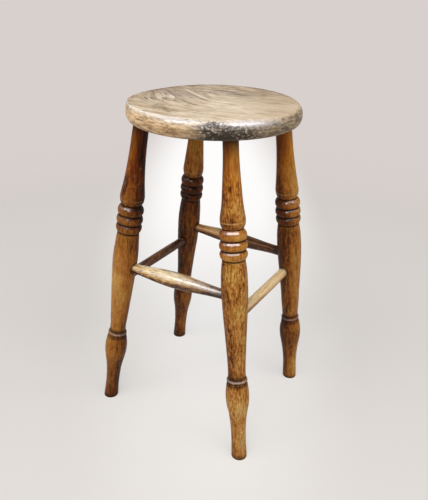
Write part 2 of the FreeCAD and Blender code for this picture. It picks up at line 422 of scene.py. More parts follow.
# foot and socket on the floor plan; bow of the shaft and how high it peaks; extra girth, fuller vase, and
# swellings by height, width and amount; flecks and the scribed line, from 0 to 1; how much paler one side
# is, low and high on the leg, and its direction, as wear and painted light with painted shade on the other
# side; rubbed crests; slope of the beads' upper shoulders, gloss of the three and direction of their glint;
# paleness and warmth of the beads; pale ring of the collar; painted shade at the top under the seat;
# redness of the vase
legSpots = {
    "leg_front_left": dict(
        foot=(-0.1724, -0.1452), socket=(-0.0976, -0.0963), bow=(-0.0019, -0.0011), bend=1.2, girth=0.0003,
        swells=((0.632, 0.05, 0.0005), (0.392, 0.022, -0.0010),
                (0.192, 0.020, -0.0009), (0.03, 0.05, -0.0006)),
        vase=0.0006, fleck=0.4, scribe=0.2, outer=(0.15, 0.20), paleTurn=-122.0, rub=0.15, slope=0.95,
        shine=(0.08, 0.12, 0.6), glint=-98.0, beadPale=0.0, beadWarm=0.0, ring=0.25, shade=0.6, warm=1.8,
        tones=(0.12, 0.18, 0.35, 0.39, 0.46, 0.57, 0.33, 0.25, 0.16, 0.14), seed=11),
    "leg_front_right": dict(
        foot=(0.1668, -0.1516), socket=(0.0829, -0.0840), bow=(0.0, 0.0), bend=1.0, girth=-0.0001,
        swells=((0.634, 0.05, -0.0003), (0.525, 0.020, -0.0006),
                (0.440, 0.016, 0.0007), (0.168, 0.018, 0.0008)),
        vase=0.0004, fleck=1.0, scribe=0.9, outer=(0.11, 0.24), paleTurn=-5.0, rub=0.5, slope=0.77,
        shine=(0.6, 1.0, 1.0), glint=-73.0, beadPale=0.18, beadWarm=0.5, ring=0.5, shade=0.95, warm=1.35,
        tones=(0.50, 0.60, 0.66, 0.46, 0.45, 0.49, 0.48, 0.36, 0.33, 0.48), seed=23),
    "leg_back_right": dict(
        foot=(0.1480, 0.1394), socket=(0.1042, 0.0856), bow=(0.0058, 0.0034), bend=1.0, girth=0.0004,
        swells=((0.629, 0.05, 0.0012), (0.172, 0.012, -0.0006),
                (0.216, 0.020, 0.0007), (0.09, 0.030, 0.0006)),
        vase=-0.0002, fleck=0.5, scribe=0.4, outer=(0.22, 0.18), paleTurn=18.0, rub=0.2, slope=0.95,
        shine=(0.10, 0.28, 0.40), glint=-48.0, beadPale=0.03, beadWarm=0.1, ring=0.15, shade=0.5, warm=1.5,
        tones=(0.43, 0.44, 0.26, 0.32, 0.36, 0.35, 0.32, 0.35, 0.45, 0.43), seed=37),
    "leg_back_left": dict(
        foot=(-0.1730, 0.1383), socket=(-0.0914, 0.0927), bow=(0.0, 0.0), bend=1.0, girth=-0.0002,
        swells=((0.632, 0.05, -0.0004), (0.400, 0.020, -0.0007),
                (0.305, 0.025, 0.0005), (0.07, 0.030, 0.0004)),
        vase=-0.0007, fleck=0.45, scribe=0.3, outer=(-0.20, -0.12), paleTurn=165.0, rub=0.05, slope=0.95,
        shine=(0.0, 0.05, 0.1), glint=-90.0, beadPale=-0.06, beadWarm=0.2, ring=0.1, shade=0.4, warm=1.3,
        tones=(0.19, 0.24, 0.25, 0.21, 0.16, 0.10, 0.04, 0.06, 0.46, 0.56), seed=51),
}
# wear, dirt and painted shade that all legs share: amounts come first, then places, widths and sizes of
# noise in metres, or the values between which a mark comes up
legWearAndShade = dict(
    waves=((0.00022, (0.05, 0.05, 0.09)), (0.00010, (0.006, 0.006, 0.018))),
    knock=(0.0022, (0.012, 0.012, 0.02), 0.42), trueFoot=0.02, trueTop=(0.03, 0.012), shear=0.035,
    onVase=(0.168, 0.160), vaseSwell=(0.15, 0.025), beadFade=0.004, beadsEnd=(0.168, 0.164),
    hollow=(0.006, 0.0009), crest=(0.0011, 0.25, 0.55), groove=(0.0009, 0.0017), topShade=0.026,
    collarDarkBands=((0.8, 0.0120, 0.0045), (0.7, -0.0030, 0.0040)), sole=(0.85, 0.013),
    mortise=(0.9, 0.0102, 0.003), scribe=(0.0125, 0.0011), outer=(0.45, 0.52),
    drift=(0.10, (0.04, 0.04, 0.12)), shoulder=(0.14, 0.3, 0.6),
    collarTone=(0.12, 0.0042, 0.006), calmTop=(0.09, 0.05), calmBeads=0.6, calmFoot=(0.15, 0.165, 0.155),
    redVase=(0.16, 0.07), strip=0.0019, stripSlope=(0.15, 0.4), stripFoot=(0.006, 0.008),
    stripShadeLine=(0.45, 0.0037, 0.0011), lit=(0.70, 0.84), dull=(0.3, 0.7), ring=(0.0056, 0.0014),
    ringGloss=(0.5, 0.0060, 0.0012), ringSide=(0.3, -0.3))

# each rail: its two legs and the heights of its ends on their axes
railEnds = {
    "stretcher_front": (("leg_front_left", 0.3335), ("leg_front_right", 0.3392)),
    "stretcher_back": (("leg_back_left", 0.3398), ("leg_back_right", 0.3377)),
    "stretcher_right": (("leg_front_right", 0.2986), ("leg_back_right", 0.2983)),
    "stretcher_left": (("leg_front_left", 0.3053), ("leg_back_left", 0.3049)),
}


def axisPoint(legName, height):
    # a point on a leg's axis: from the foot towards the socket by its share of the height
    spot = legSpots[legName]
    foot, socket = np.array((*spot["foot"], 0.0)), np.array((*spot["socket"], seatUnderside))
    return foot + (socket - foot) * (height / seatUnderside)


def legOutline(length, slope):
    # from the sole to the tenon; each bead starts where the one before it ended
    widths, collar = legShape["beadWidths"], legShape["collar"]
    beadsFoot = length - legShape["vaseLength"] - sum(widths)
    starts = dict(floor=0.0, collar=collar, beads=beadsFoot, vase=beadsFoot + sum(widths), top=length)
    outline = Turning(legShape["soleEdge"], 0.0)
    outline.through(legTurning["lower"], starts)
    (crest, crestRise), (end, endRise) = collarBead["crest"], collarBead["end"]
    outline.bead(crest, collar + crestRise, end, collar + endRise, *collarBead["shoulder"])
    outline.through(legTurning["shaft"], starts)
    for width, (crest, share, end, drop, shoulder) in zip(widths, legBeads):
        foot = outline.last()[1]
        outline.bead(crest, foot + share * width, end, foot + width - drop, shoulder, slope,
                     legShape["beadRows"])
    outline.through(legTurning["upper"], starts)
    return outline.rows()


def fromTop(skin, reach):
    # smooth step up between two places that are given as distances below the seat
    return softStep(skin.height, skin.length - reach[0], skin.length - reach[1])


def collarBand(skin, amount, rise, width):
    return amount * hump(skin.height, legShape["collar"] + rise, width)


def legSkin(name):
    # circles along the leg's axis, swelled or dented by noise and moved sideways by half a wave for the bow;
    # near the floor the rows are sheared so that the lowest lies flat on it
    spot, wear, seed = legSpots[name], legWearAndShade, legSpots[name]["seed"]
    foot, socket = axisPoint(name, 0.0), axisPoint(name, seatUnderside)
    length = np.linalg.norm(socket - foot)
    direction = (socket - foot) / length
    heights, radii = legOutline(length, spot["slope"])
    skin = turnedGrid((heights, radii), direction, legShape["around"])
    skin.length, height, radius = length, skin.height, skin.radius
    depth, size, rare = wear["knock"]
    knocks = np.clip(cloud(skin.local, size, seed + 2, 2) - rare, 0.0, 1.0)
    aboveFoot = softStep(height, 0.0, wear["trueFoot"])
    shown = aboveFoot * (1.0 - fromTop(skin, wear["trueTop"]))
    radius = radius + shown * (wobble(skin.local, wear["waves"], seed) - depth * knocks)
    radius = radius + shown * spot["girth"]
    for middle, width, amount in spot["swells"]:
        radius = radius + amount * hump(height, middle, width) * aboveFoot
    drop, width = wear["vaseSwell"]
    radius = radius + spot["vase"] * fromTop(skin, wear["onVase"]) * hump(height, length - drop, width)

    lift = -(radius * skin.outward[..., 2]) / direction[2]
    sheared = height + lift * np.clip(1.0 - height / wear["shear"], 0.0, 1.0) ** 2
    wave = np.sin(math.pi * np.clip(height / length, 0.0, 1.0) ** spot["bend"])
    bow = np.array((*spot["bow"], 0.0)) * wave[..., None]
    skin.points = foot + bow + sheared[..., None] * direction + radius[..., None] * skin.outward
    skin.points[0, :, 2] = 0.0

    skin.beadsFoot = length - legShape["vaseLength"] - sum(legShape["beadWidths"])
    beadsFrom = softStep(height, skin.beadsFoot - wear["beadFade"], skin.beadsFoot)
    skin.onBeads = beadsFrom * (1.0 - fromTop(skin, wear["beadsEnd"]))
    fall = np.gradient(-radii, heights + 1e-7 * np.arange(len(heights)))      # no two rows at one height
    hollow = hollowness(heights, radii, wear["hollow"][0])
    skin.facingUp, skin.hollow = (np.repeat(row[:, None], height.shape[1], axis=1) for row in (fall, hollow))
    return skin


def legDirtAndShade(name, skin):
    # dirt in the hollows of the outline and round the rails; darker bands at the grooves as dirt and painted
    # shadow, above and below the collar, and towards the sole; painted shade at the top under the seat
    wear, height = legWearAndShade, skin.height
    dirtAndShade = np.clip(skin.hollow / wear["hollow"][1], 0.0, 1.0)
    # grooves: dirt and painted shadow under the bead above
    rise, width = wear["groove"]
    bands = [hump(height, groove + rise, width)
             for groove in skin.beadsFoot + np.cumsum((0.0,) + legShape["beadWidths"][:2])]
    # darker bands just above and below the collar
    bands += [collarBand(skin, *band) for band in wear["collarDarkBands"]]
    # painted shade under the seat, at the top of the leg
    bands += [legSpots[name]["shade"] * hump(height, skin.length, wear["topShade"])]
    # darker towards the sole
    amount, reach = wear["sole"]
    bands += [amount * softStep(-height, -reach, 0.0)]
    amount, radius, fade = wear["mortise"]
    for ends in railEnds.values():
        for here, there in (ends, ends[::-1]):
            if here[0] == name:
                start = axisPoint(*here)
                pull = unit(axisPoint(*there) - start)
                away = skin.points - start
                reach = away @ pull
                gap = np.linalg.norm(away - reach[..., None] * pull, axis=-1) - radius
                bands += [amount * (reach > 0) * hump(np.maximum(gap, 0.0), 0.0, fade)]
    return np.max([dirtAndShade, *bands], axis=0)


def beadGloss(name, skin, dirtAndShade):
    # polish on a strip of each bead's upper shoulder, where it looks at the glint, and a painted shade line
    # below it
    spot, wear, height = legSpots[name], legWearAndShade, skin.height
    edges = skin.beadsFoot + np.cumsum(legShape["beadWidths"])
    bead = np.clip(np.searchsorted(edges, height), 0, 2)
    shine = np.array(spot["shine"])[bead]
    belowStrip = (edges - np.array(legShape["stripDepths"]))[bead] - height
    stripFrom, stripTo = (skin.beadsFoot + rise for rise in wear["stripFoot"])
    polish = shine * hump(belowStrip, 0.0, wear["strip"]) * softStep(skin.facingUp, *wear["stripSlope"])
    polish = polish * softStep(height, stripFrom, stripTo) * skin.onBeads
    lit = softStep(facing(skin.outward, spot["glint"]), *wear["lit"])
    polish = polish * lit * (1.0 - softStep(dirtAndShade, *wear["dull"]))
    # painted shade line below each glossy strip, where the glint falls
    amount, drop, width = wear["stripShadeLine"]
    dirtAndShade = np.maximum(dirtAndShade, amount * shine * lit * skin.onBeads * hump(belowStrip, drop, width))
    amount, *band = wear["ringGloss"]
    ringPolish = collarBand(skin, amount * spot["ring"], *band)
    ringPolish = ringPolish * softStep(skin.outward[..., 1], *wear["ringSide"])
    return np.maximum(polish, ringPolish), dirtAndShade


def makeLeg(name, finish):
    spot, wear, skin = legSpots[name], legWearAndShade, legSkin(name)
    height, onBeads, seed = skin.height, skin.onBeads, spot["seed"]
    polish, dirtAndShade = beadGloss(name, skin, legDirtAndShade(name, skin))
    high, start, share = wear["crest"]
    rubbed = np.clip(-skin.hollow / high - start, 0.0, 1.0) * share * spot["rub"]
    rise, width = wear["scribe"]
    scribe = spot["scribe"] * hump(height, skin.length - legShape["vaseLength"] + rise, width)
    tone = np.interp(height, toneHeights, spot["tones"])
    # painted light and shade, with wear: one side of each leg paler, the opposite side darker
    tone = tone + np.interp(height, wear["outer"], spot["outer"]) * facing(skin.outward, spot["paleTurn"])
    amount, size = wear["drift"]
    tone = tone + amount * cloud(skin.local, size, seed + 3)
    tone = tone - collarBand(skin, *wear["collarTone"]) + spot["beadPale"] * onBeads
    amount, *slopes = wear["shoulder"]
    tone = tone - amount * softStep(skin.facingUp, *slopes) * onBeads
    fleck = spot["fleck"] * (1.0 - fromTop(skin, wear["calmTop"])) * (1.0 - wear["calmBeads"] * onBeads)
    amount, footFrom, footTo = wear["calmFoot"]
    fleck = fleck * (1.0 - amount * softStep(-height, -footFrom, -footTo))
    fields = dict(grain=ownGrain(skin.local, seed), dirtAndShade=dirtAndShade, wear=np.maximum(rubbed, scribe), tone=tone,
                  fleck=fleck, polish=polish, ring=collarBand(skin, spot["ring"], *wear["ring"]),
                  warm=spot["warm"] * fromTop(skin, wear["redVase"]) + spot["beadWarm"] * onBeads)
    putMesh(name, skin.points, tubeFaces(*height.shape), fields, finish, name)


legLook = dict(
    name="stainedBeech", wide=0.8, patch=0.7, mottle=1.0, fine=0.65,
    tones=stops((18, 8, 2), (86, 42, 10), (160, 100, 37), (200, 149, 79), (228, 190, 130)),
    warmTint=(1.0, 0.79, 0.31, 1.0), red=0.36, redTint=tint(114, 42, 6), olive=0.8,
    oliveTint=(0.92, 1.0, 0.80, 1.0), ringTint=tint(180, 168, 164), speckSize=(0.0024, 0.0024, 0.0070),
    speck=(0.56, 0.65), fleckDark=0.55, fleckTint=tint(80, 34, 8), scratch=0.5,
    # the dirt colour also paints shade
    scratchTint=tint(222, 184, 120), dirtTint=tint(18, 10, 4), wearTint=tint(210, 160, 100),
    rough=(0.26, 0.42), specular=0.07, coat=0.02, gloss=1.0, coatRough=0.12, coatIndex=2.5, relief=0.0005)
legFinish = beechFinish(legLook)
for legName in legSpots:
    makeLeg(legName, legFinish)


# Stretchers

railShape = dict(tenon=0.0100, tenonShown=0.0294, past=0.004, around=96, thinnestSwell=0.012, plainRows=200,
                 tenonRows=20, rise=(110, 0.25, 0.35, 0.2), fall=(110, 0.28, 0.34, 0.0, 0.12))
# thickness, and how far the thickest place lies from the middle; then, at five places along the rail, the
# tones of its top and underside, how pale its rubbed side is as a painted highlight, how dark its open grain
# and how polished it is
railSpots = {
    "stretcher_front": dict(
        swell=0.0165, offset=-0.008, tops=(0.74, 0.95, 0.92, 0.46, 0.05),
        under=(0.28, 0.36, 0.28, 0.18, 0.10), rub=(0.0, 0.2, 0.75, 0.55, 0.1),
        lines=(1.0, 1.0, 0.45, 0.30, 0.1), shine=(0.3, 0.8, 1.0, 1.0, 1.0), fleck=1.0, warm=0.0, seed=61),
    "stretcher_back": dict(
        swell=0.0155, offset=0.0, tops=(0.58, 0.88, 0.46, 0.27, 0.13), under=(0.17,) * 5, rub=(0.0,) * 5,
        lines=(0.2, 0.2, 0.3, 0.3, 0.3), shine=(0.3, 0.4, 0.2, 0.1, 0.0), fleck=0.5, warm=1.1, seed=67),
    "stretcher_right": dict(
        swell=0.0104, offset=0.0, tops=(0.94, 0.98, 0.99, 1.0, 1.0), under=(0.26, 0.42, 0.56, 0.62, 0.62),
        rub=(0.0, 0.1, 0.1, 0.2, 0.5), lines=(0.20, 0.15, 0.22, 0.10, 0.0), shine=(0.5, 0.4, 0.4, 0.5, 0.9),
        fleck=0.32, warm=0.70, seed=71),
    "stretcher_left": dict(
        swell=0.0097, offset=0.0, tops=(0.31, 0.27, 0.27, 0.23, 0.16), under=(0.14,) * 5, rub=(0.0,) * 5,
        lines=(0.3,) * 5, shine=(0.3, 0.1, 0.1, 0.1, 0.1), fleck=0.6, warm=0.6, seed=79),
}
# wear and a painted highlight that all rails share: amounts, sizes of noise, and the values between which
# each mark comes up
railWear = dict(
    waves=((0.00025, (0.03, 0.03, 0.07)), (0.00012, (0.005, 0.005, 0.02))), ends=(0.018, 0.04),
    placesFrom=0.02, flat=0.0009, flatSide=(0.35, 1.0), flatSize=(0.03, 0.03, 0.05), flatShares=(0.6, 0.4),
    endDirt=0.8, endReach=(0.022, 0.032), ragged=0.35, raggedSize=(0.02, 0.02, 0.04), wornSide=(-0.35, 0.65),
    openSize=(0.0042, 0.0042, 0.060), openGrain=(0.02, 0.30), shineSide=(-0.2, 0.5),
    shineSize=(0.008, 0.008, 0.03), shineGaps=(-0.7, -0.1), highlightSide=(0.35, -0.60, 0.72),
    highlightFacing=(0.70, 0.92), highlightSize=(0.006, 0.006, 0.014), highlightGaps=(-0.45, 0.15), fleckShares=(0.8, 0.2),
    fleckEnds=(0.08, 0.04))


def railOutline(length, spot):
    # a plain rod, or a tenon at each end with a long swell between
    shape, end = railShape, length + railShape["past"]
    plain = spot["swell"] < shape["thinnestSwell"]
    tenon = spot["swell"] if plain else shape["tenon"]
    outline = Turning(tenon, -shape["past"])
    if plain:
        outline.curve(tenon, end, shape["plainRows"], *straight)
        return outline.rows()
    outline.curve(tenon, shape["tenonShown"], shape["tenonRows"], *straight)
    outline.curve(spot["swell"], 0.5 * length + spot["offset"], *shape["rise"])
    outline.curve(tenon, length - shape["tenonShown"], *shape["fall"])
    outline.curve(tenon, end, shape["tenonRows"], *straight)
    return outline.rows()


def makeRail(name, finish):
    # circles along the line between two legs, flattened a little where shoes rubbed the top
    spot, wear, seed = railSpots[name], railWear, railSpots[name]["seed"]
    start, end = (axisPoint(*railEnd) for railEnd in railEnds[name])
    length = np.linalg.norm(end - start)
    direction = (end - start) / length
    skin = turnedGrid(railOutline(length, spot), direction, railShape["around"])
    height, local, upward = skin.height, skin.local, skin.outward[..., 2]
    places = np.linspace(wear["placesFrom"], length - wear["placesFrom"], 5)
    tops, under, rub, lines, shine = (
        np.interp(height, places, spot[key]) for key in ("tops", "under", "rub", "lines", "shine"))
    endFrom, endTo = wear["ends"]
    shown = between(height, endFrom, endTo, length - endTo, length - endFrom)
    least, swing = wear["flatShares"]
    rubbed = tops * softStep(upward, *wear["flatSide"])
    rubbed = rubbed * (least + swing * cloud(local, wear["flatSize"], seed + 4))
    radius = skin.radius + shown * (wobble(local, wear["waves"], seed) - wear["flat"] * rubbed)
    points = start + height[..., None] * direction + radius[..., None] * skin.outward

    endGap = np.minimum(height, length - height)
    openGrain = softStep(cloud(local, wear["openSize"], seed + 7, 2), *wear["openGrain"])
    dirtAndShade = np.maximum(wear["endDirt"] * (1.0 - softStep(endGap, *wear["endReach"])), openGrain * lines)
    worn = softStep(upward + wear["ragged"] * cloud(local, wear["raggedSize"], seed + 2), *wear["wornSide"])
    polish = shine * softStep(upward, *wear["shineSide"])
    polish = polish * softStep(cloud(local, wear["shineSize"], seed + 5), *wear["shineGaps"])
    # painted highlight: pale patches on the side that faces up and to the front, where the lamp's highlight
    # falls
    pale = rub * softStep(skin.outward @ np.array(wear["highlightSide"]), *wear["highlightFacing"])
    pale = pale * softStep(cloud(local, wear["highlightSize"], seed + 6), *wear["highlightGaps"])
    least, swing = wear["fleckShares"]
    fleck = spot["fleck"] * (least + swing * softStep(endGap, *wear["fleckEnds"]))
    fields = dict(grain=ownGrain(local, seed), dirtAndShade=dirtAndShade, wear=pale, tone=under + (tops - under) * worn,
                  polish=polish, fleck=fleck, ring=np.zeros_like(height),
                  warm=np.full_like(height, spot["warm"]))
    putMesh(name, points, tubeFaces(*height.shape), fields, finish, name)


railLook = dict(
    name="wornBeech", wide=0.6, patch=0.5, mottle=1.1, fine=1.1,
    tones=stops((26, 14, 6), (88, 54, 25), (156, 107, 52), (212, 170, 102), (246, 224, 172)),
    warmTint=(0.86, 0.62, 0.40, 1.0), red=0.2, redTint=tint(128, 60, 20), olive=0.0,
    oliveTint=(1.0, 1.0, 1.0, 1.0), ringTint=(1.0, 1.0, 1.0, 1.0), speckSize=(0.0022, 0.0022, 0.013),
    speck=(0.53, 0.60), fleckDark=0.8, fleckTint=tint(84, 48, 26), scratch=0.55,
    # the wear colour here paints pale patches that stand in for a highlight
    scratchTint=tint(250, 234, 200), dirtTint=tint(34, 24, 16), wearTint=tint(244, 236, 222),
    rough=(0.24, 0.40), specular=0.15, coat=0.04, gloss=1.0, coatRough=0.20, coatIndex=2.4, relief=0.0006)
railFinish = beechFinish(railLook)
for railName in railSpots:
    makeRail(railName, railFinish)


# Seat

frontTurn = math.radians(-59.6)      # direction of the blackened front of the edge
seatShape = dict(
    radius=0.166, top=0.671, underside=0.637, widest=0.0145, topRound=0.016, bottomRound=0.007, arris=0.0055,
    arrisTurn=math.radians(84.0), arrisWidth=0.75, cells=160, topRows=26, bottomRows=20)
# turns from the front, in radians, between which each side of the edge comes and goes
seatSides = dict(front=0.55, right=(0.1, 0.5, 1.6, 2.2), left=(0.3, 0.7, 1.7, 2.2), back=(1.8, 2.4))
# depths of the wear in metres with the sizes of its noise, and the places between which it comes up
seatWear = dict(
    dish=(0.0010, 0.05, 0.14), uneven=(0.0006, (0.06, 0.03, 0.06)),
    lowRim=(0.0022, math.radians(172.0), 0.55), lowReach=(0.11, 0.16), lowRoll=(0.3, 1.2),
    dent=(0.0006, (0.03, 0.03, 0.012)), dentRoll=(0.2, 0.6),
    pit=(0.0006, 0.0026, 0.0008), pitSize=(0.009, 0.009, 0.006), pitRare=0.12, split=0.0011,
    splitSize=(0.045, 0.045, 0.0030), splitWidth=0.05, gapSize=(0.03, 0.03, 0.02), splitGaps=(-0.15, 0.25),
    topRoll=(0.0, 0.7), edgeRoll=(0.45, 0.75, 1.85, 2.0), trueRoll=(1.9, 2.0))
# slant of the grain, shade of the board and what adds to it: painted shade to the back and along the back
# rim, darker to the sides; liveliness of the grain, and grey stains by amount, place and width along x, and
# place and width along y
seatTop = dict(
    slant=(0.62, 0.02, 0.09), farSlant=0.15, shade=0.32, backShade=(0.25, -0.06, 0.13),
    leftShade=(0.24, 0.0, 0.11), rightShade=(0.20, 0.02, 0.11), rimShade=(0.35, 0.138, 0.150),
    lively=(1.25, 0.70), calmRight=(0.01, 0.08), calmBack=(0.03, 0.09),
    stains=((1.0, -0.085, 0.05, 0.0, 0.05), (0.7, 0.0, 0.06, 0.075, 0.025)))
# lines on the top: start and end on the floor plan, width and amount; the first seam is a painted shadow
# beside the pale streak
seatLines = dict(
    streak=((-0.110, 0.060, -0.014, -0.003, 0.0026, 1.0),),
    seamAndShadow=((-0.085, 0.036, -0.004, -0.012, 0.0050, 0.6), (-0.120, 0.018, -0.02, -0.038, 0.0028, 0.45),
          (-0.06, -0.014, 0.02, -0.05, 0.0024, 0.4)),
    gaps=((-0.074, 0.053, -0.036, 0.057, 0.0030, 0.9), (-0.052, 0.080, 0.006, 0.089, 0.0030, 1.0),
          (-0.012, 0.070, 0.040, 0.077, 0.0030, 0.9), (0.056, 0.110, 0.104, 0.112, 0.0030, 0.8),
          (-0.022, 0.020, 0.140, 0.046, 0.0030, 0.3), (-0.120, -0.090, -0.060, -0.094, 0.0030, 0.4),
          (0.010, -0.058, 0.075, -0.050, 0.0030, 0.3)))
# marks of the edge: places on its roll or turns from the front with their widths, or the values between which
# a mark comes up
seatEdge = dict(
    side=(0.35, 0.75), under=(1.55, 1.95), ragged=(0.16, (0.03, 0.03, 0.03)), crazed=(-0.02, 0.13),
    crazedBurn=0.24, burn=(0.50, 0.68), burnTurn=(1.2, 0.13, 0.36), dusk=(0.34, 0.56), backDusk=0.8,
    rim=(0.007, 0.0005), arrisWearAndHighlight=(0.24, 0.14), rubbed=0.85, crest=(0.38, 0.26), gleam=0.22,
    parts=((0.75, -0.38, 0.25), (1.0, 0.36, 0.28)), chipSize=(0.014, 0.014, 0.014), chips=(-0.25, 0.15),
    chipShares=(0.6, 0.4), polish=(0.04, 0.28), polishShares=(1.3, 0.1), craze=(0.50, 0.34),
    crazeShares=(1.2, 0.25), black=(0.7, 1.3), blackTurn=(0.08, 0.26), wholeFront=0.8)


def discGrid(cells):
    # square grid spread into a round: each coordinate shrinks by the root of one less half the other squared
    side = np.linspace(-1.0, 1.0, cells + 1)
    first, second = np.meshgrid(side, side, indexing="ij")
    disc = [first * np.sqrt(1.0 - 0.5 * second ** 2), second * np.sqrt(1.0 - 0.5 * first ** 2)]
    return np.stack(disc, axis=-1).reshape(-1, 2)


def roundOver(angle):
    # width of the rounding of the top edge: wide all round, narrow along the left where it kept its arris
    shape = seatShape
    fromLeft = wrapAngle(angle - frontTurn + shape["arrisTurn"])
    return shape["topRound"] + (shape["arris"] - shape["topRound"]) * hump(fromLeft, 0.0, shape["arrisWidth"])


def seatSurface():
    # round top, edge of two quarter ovals one above the other, round underside; roll counts 0 on the top,
    # 1 at the widest place of the edge and 2 underneath
    shape, cells = seatShape, seatShape["cells"]
    index = np.arange((cells + 1) ** 2).reshape(cells + 1, cells + 1)
    border = np.concatenate([index[:-1, 0], index[-1, :-1], index[:0:-1, -1], index[0, :0:-1]])
    disc = discGrid(cells)
    middle = shape["underside"] + shape["widest"]
    bottomFlat = shape["radius"] - shape["bottomRound"]
    inset = roundOver(np.arctan2(disc[:, 1], disc[:, 0]))
    topPart = np.column_stack([(shape["radius"] - inset)[:, None] * disc, np.full(len(disc), shape["top"])])
    bottomPart = np.column_stack([bottomFlat * disc, np.full(len(disc), shape["underside"])])
    fall = np.linspace(0.0, 0.5 * math.pi, shape["topRows"] + 1)[1:, None]
    drop = np.linspace(0.0, 0.5 * math.pi, shape["bottomRows"] + 1)[1:-1, None]
    upperRadius = shape["radius"] - inset[border] * (1.0 - np.sin(fall))
    lowerRadius = bottomFlat + shape["bottomRound"] * np.cos(drop) + 0.0 * inset[border]
    rimRadius = np.concatenate([upperRadius, lowerRadius])
    upperHeight = middle + (shape["top"] - middle) * np.cos(fall)
    rimHeight = np.concatenate([upperHeight, middle - shape["widest"] * np.sin(drop)])
    rimLevel = np.broadcast_to(rimHeight[..., None], (*rimRadius.shape, 1))
    rimPart = np.concatenate([rimRadius[..., None] * disc[border], rimLevel], axis=-1)
    rimRoll = np.concatenate([fall, math.pi / 2.0 + drop]) / (math.pi / 2.0) + 0.0 * rimRadius

    points = np.concatenate([topPart, rimPart.reshape(-1, 3), bottomPart])
    roll = np.concatenate([np.zeros(len(disc)), rimRoll.ravel(), np.full(len(disc), 2.0)])
    bottomStart = len(disc) + rimRoll.size
    rimPoints = len(disc) + np.arange(rimRoll.size).reshape(rimRoll.shape)
    rings = np.vstack([border, rimPoints, bottomStart + border])
    corners = [index[:-1, :-1], index[1:, :-1], index[1:, 1:], index[:-1, 1:]]
    topQuads = np.stack(corners, axis=-1).reshape(-1, 4)
    quads = np.concatenate([topQuads, ringQuads(rings), bottomStart + topQuads[:, ::-1]])
    return points, roll, quads.tolist()


def seatPlan(points, roll):
    # where each point lies, with shares from 0 to 1 for the sides, the top, the edge and its splits
    plan, sides, wear = SimpleNamespace(roll=roll), seatSides, seatWear
    plan.radius = np.hypot(points[:, 0], points[:, 1])
    plan.angle = np.arctan2(points[:, 1], points[:, 0])
    plan.ahead = wrapAngle(plan.angle - frontTurn)
    plan.front = hump(plan.ahead, 0.0, sides["front"])
    plan.right = between(plan.ahead, *sides["right"])
    plan.left = between(-plan.ahead, *sides["left"])
    plan.back = softStep(np.abs(plan.ahead), *sides["back"])
    plan.onTop = 1.0 - softStep(roll, *wear["topRoll"])
    plan.lowEdge = between(roll, *wear["edgeRoll"])
    splits = hump(cloud(points, wear["splitSize"], 9, 2), 0.0, wear["splitWidth"])
    plan.splits = splits * softStep(cloud(points, wear["gapSize"], 10, 2), *wear["splitGaps"])
    return plan


def wornSeat(points, plan):
    # worn dish, uneven top and lowered rim at the back left; pits, cracks and chips go into the edge
    wear, roll = seatWear, plan.roll
    outwards = points * np.array((1.0, 1.0, 0.0)) / np.maximum(plan.radius, 1e-6)[:, None]
    depth, *reach = wear["dish"]
    sink = depth * plan.onTop * (1.0 - softStep(plan.radius, *reach))
    depth, size = wear["uneven"]
    sink = sink + plan.onTop * depth * (0.5 + 0.5 * cloud(points, size, 5))
    depth, turn, width = wear["lowRim"]
    lowered = hump(wrapAngle(plan.angle - turn), 0.0, width) * softStep(plan.radius, *wear["lowReach"])
    sink = sink + depth * lowered * (1.0 - softStep(roll, *wear["lowRoll"]))
    depth, size = wear["dent"]
    dent = depth * (0.5 + 0.5 * cloud(points, size, 6)) * softStep(roll, *wear["dentRoll"])
    pits = np.clip(cloud(points, wear["pitSize"], 8, 3) - wear["pitRare"], 0.0, 1.0)
    depth, frontDepth, rightDepth = wear["pit"]
    pits = (depth + frontDepth * plan.front + rightDepth * plan.right) * pits
    dent = dent + plan.lowEdge * (pits + wear["split"] * (1.0 - plan.front) * plan.splits)
    points = points - outwards * (dent * (1.0 - softStep(roll, *wear["trueRoll"])))[:, None]
    points[:, 2] -= sink
    return points


def nearLine(points, startX, startY, endX, endY, width, amount, ends=(-0.05, 0.25, 0.8, 1.1)):
    # the amount along a line on the floor plan, fading across it over the width and towards its ends
    start, end = np.array((startX, startY)), np.array((endX, endY))
    pull = unit(end - start)
    away = points[:, :2] - start
    along = away @ pull / np.linalg.norm(end - start)
    across = away[:, 1] * pull[0] - away[:, 0] * pull[1]
    return amount * (hump(across, 0.0, width) * between(along, *ends))


def topFields(points, plan):
    # grain along x, bent to a steep slant over the left half; the board darkens to the back and along the
    # back rim as painted shade, and to the sides; grey stains, and lines from the list
    top, alongX, alongY = seatTop, points[:, 0], points[:, 1]
    steep, place, width = top["slant"]
    slant = steep * np.maximum(-alongX, 0.0) * hump(alongY, place, width)
    slant = slant + top["farSlant"] * np.maximum(alongX, 0.0)
    backward = points[:, :2] @ np.array((-math.cos(frontTurn), -math.sin(frontTurn)))
    leftward = points[:, :2] @ np.array((math.sin(frontTurn), -math.cos(frontTurn)))
    shade = top["shade"]
    # painted shade towards the back and along the back rim; darker towards the sides
    for name, value, share in (("backShade", backward, 1.0), ("leftShade", leftward, 1.0),
                               ("rightShade", -leftward, 1.0), ("rimShade", plan.radius, plan.back)):
        amount, *reach = top[name]
        shade = shade + amount * share * softStep(value, *reach)
    most, calm = top["lively"]
    calm = calm * softStep(-leftward, *top["calmRight"]) * (1.0 - softStep(backward, *top["calmBack"]))
    blueing = sum(amount * hump(alongX, placeX, widthX) * hump(alongY, placeY, widthY)
                  for amount, placeX, widthX, placeY, widthY in top["stains"])
    grain = points - slant[:, None] * np.array((0.0, 1.0, 0.0))
    fields = dict(grain=grain, shade=shade, lively=most - calm, blueing=blueing)
    for name, lines in seatLines.items():
        fields[name] = np.max([nearLine(points, *line) for line in lines], axis=0) * plan.onTop
    return fields


